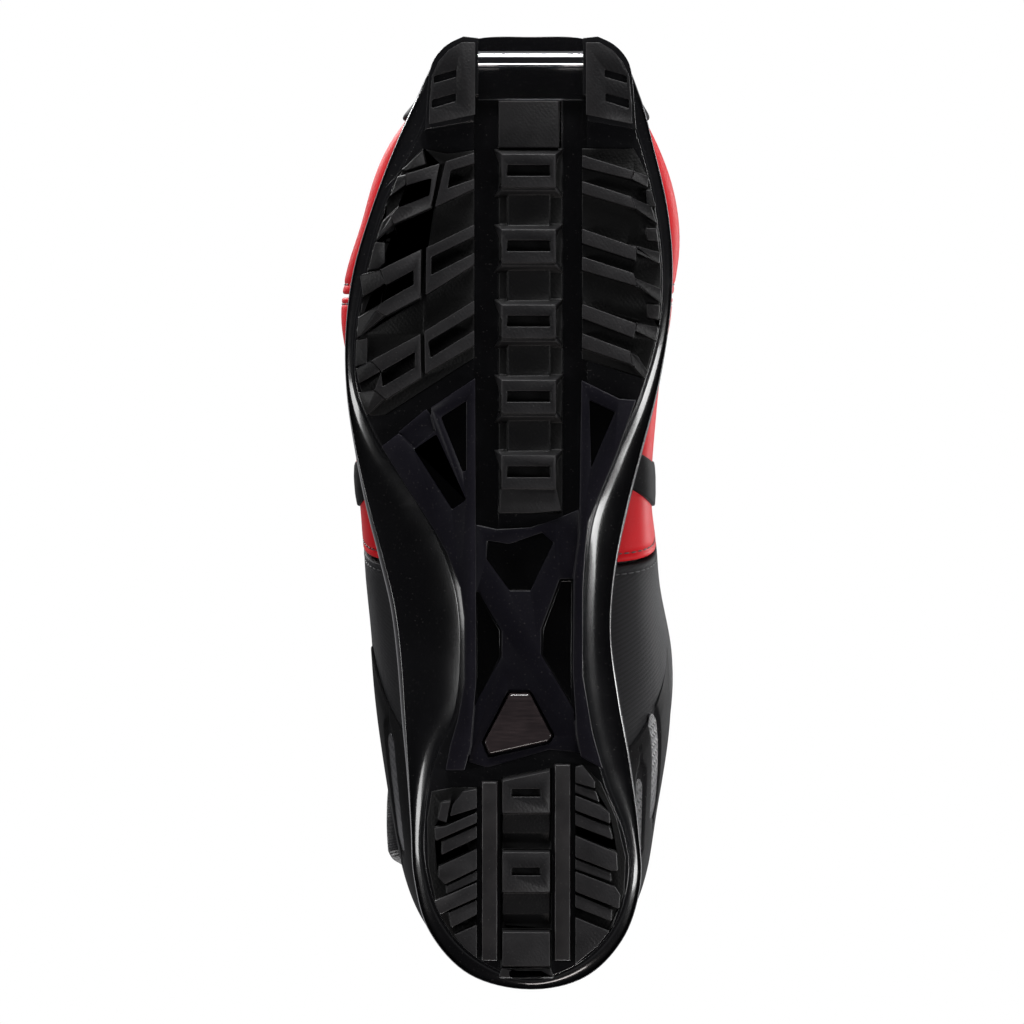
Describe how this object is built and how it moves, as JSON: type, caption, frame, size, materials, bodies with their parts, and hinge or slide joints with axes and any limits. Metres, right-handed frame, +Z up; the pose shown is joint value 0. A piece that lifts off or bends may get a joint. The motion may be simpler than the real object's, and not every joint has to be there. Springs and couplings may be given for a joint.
{
  "type": "cross country ski boot",
  "caption": "Ankle-high cross country ski boot for the right foot, with a toe bar, grooved rubber sole, zipped instep cover and ankle strap.",
  "frame": {"origin": "on the tread plane, under the middle of the boot's outline", "axes": "+Z up, toe towards -Y, heel towards +Y, medial (inner) side towards +X"},
  "size_m": [0.1056, 0.3002, 0.1674],
  "materials": {
    "chassis": "glossy black moulded TPU",
    "rubber": "matte pebbled sole rubber",
    "rib": "satin moulded TPU",
    "steel": "polished plated steel",
    "inlay": "glossy domed resin",
    "shell": "satin thermoplastic overlay",
    "carbon": "woven laminate under clear film",
    "red_panel": "coated red synthetic",
    "softshell": "woven softshell",
    "webbing": "woven webbing",
    "lining": "brushed knit",
    "collar": "padded stretch knit",
    "footbed": "felt top cover on foam",
    "board": "fibre board",
    "dark_metal": "black-nickel die casting"
  },
  "bodies": {
    "boot": {"sole_frame": "chassis", "toe_bar": "steel", "toe_lug_lateral": "rubber", "toe_lug_medial": "rubber", "forefoot_tread_lateral": "rubber", "forefoot_tread_medial": "rubber", "centre_ladder": "rubber", "arch_frame": "rubber", "arch_inlay": "inlay", "heel_centre_tread": "rubber", "heel_rib_lateral": "rib", "heel_rib_medial": "rib", "heel_tread_lateral": "rubber", "heel_tread_medial": "rubber", "shank_plate": "board", "lasting_board": "board", "vamp_lining": "lining", "ankle_lining": "lining", "footbed": "footbed", "tongue": "lining", "toe_cap": "shell", "vamp": "red_panel", "side_panel_lateral": "red_panel", "side_panel_medial": "red_panel", "quarter_lateral": "softshell", "quarter_medial": "softshell", "eyestay_lateral": "webbing", "eyestay_medial": "webbing", "instep_arm_lateral": "shell", "instep_arm_medial": "shell", "cover_lateral": "softshell", "cover_medial": "softshell", "zip_tape_lateral": "webbing", "zip_tape_medial": "webbing", "instep_bridge": "softshell", "heel_counter": "shell", "counter_plate_medial_upper": "carbon", "counter_plate_medial_lower": "carbon", "counter_plate_lateral": "carbon", "collar_padding": "collar", "heel_loop": "webbing", "strap_root": "webbing", "strap_pad": "webbing"},
    "zip_slider": {"zip_slider": "dark_metal"},
    "zip_pull": {"zip_pull": "dark_metal"},
    "ankle_strap": {"ankle_strap": "webbing"}
  },
  "joints": [
    {"name": "zip_slide", "type": "slide", "parent": "boot", "child": "zip_slider", "axis": [-0.0963, -0.8184, -0.5664], "range_m": [0, 0.062]},
    {"name": "zip_pull_hinge", "type": "hinge", "parent": "zip_slider", "child": "zip_pull", "pos_m": [0.00411, 0.02211, 0.14101], "axis": [-1, 0, 0], "range_deg": [0, 100]},
    {"name": "strap_hinge", "type": "hinge", "parent": "boot", "child": "ankle_strap", "pos_m": [-0.03916, 0.09052, 0.11655], "axis": [-0.075, -0.4354, -0.8971], "range_deg": [0, 100]}
  ]
}
